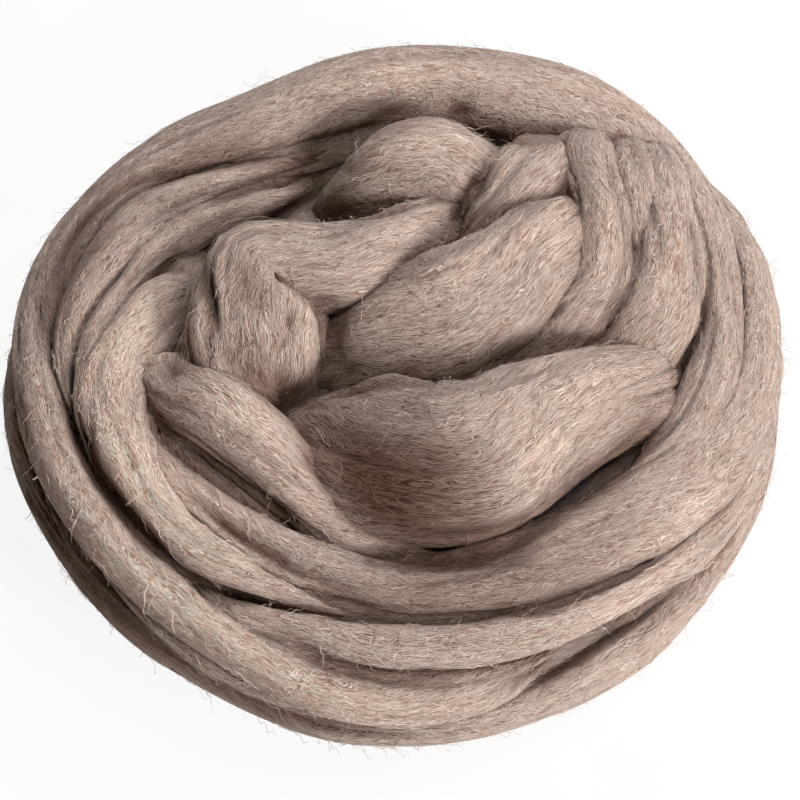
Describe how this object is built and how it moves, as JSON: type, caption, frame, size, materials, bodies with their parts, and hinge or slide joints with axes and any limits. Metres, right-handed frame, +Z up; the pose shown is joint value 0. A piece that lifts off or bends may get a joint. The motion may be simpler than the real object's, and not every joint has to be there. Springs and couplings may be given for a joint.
{
  "type": "wool roving",
  "caption": "Soft combed wool roving wound into a loose round nest, with the rest of its length folded into the middle.",
  "frame": {"origin": "middle of the flat foot, on the surface that the nest rests on", "axes": "+Z up, +X to the right and -Y towards the viewer of the picture"},
  "size_m": [0.2455, 0.2448, 0.0798],
  "materials": {
    "combed_wool": "soft combed wool fibre, matt with a faint sheen"
  },
  "bodies": {
    "root": {"roving_nest": "combed_wool"}
  },
  "joints": []
}
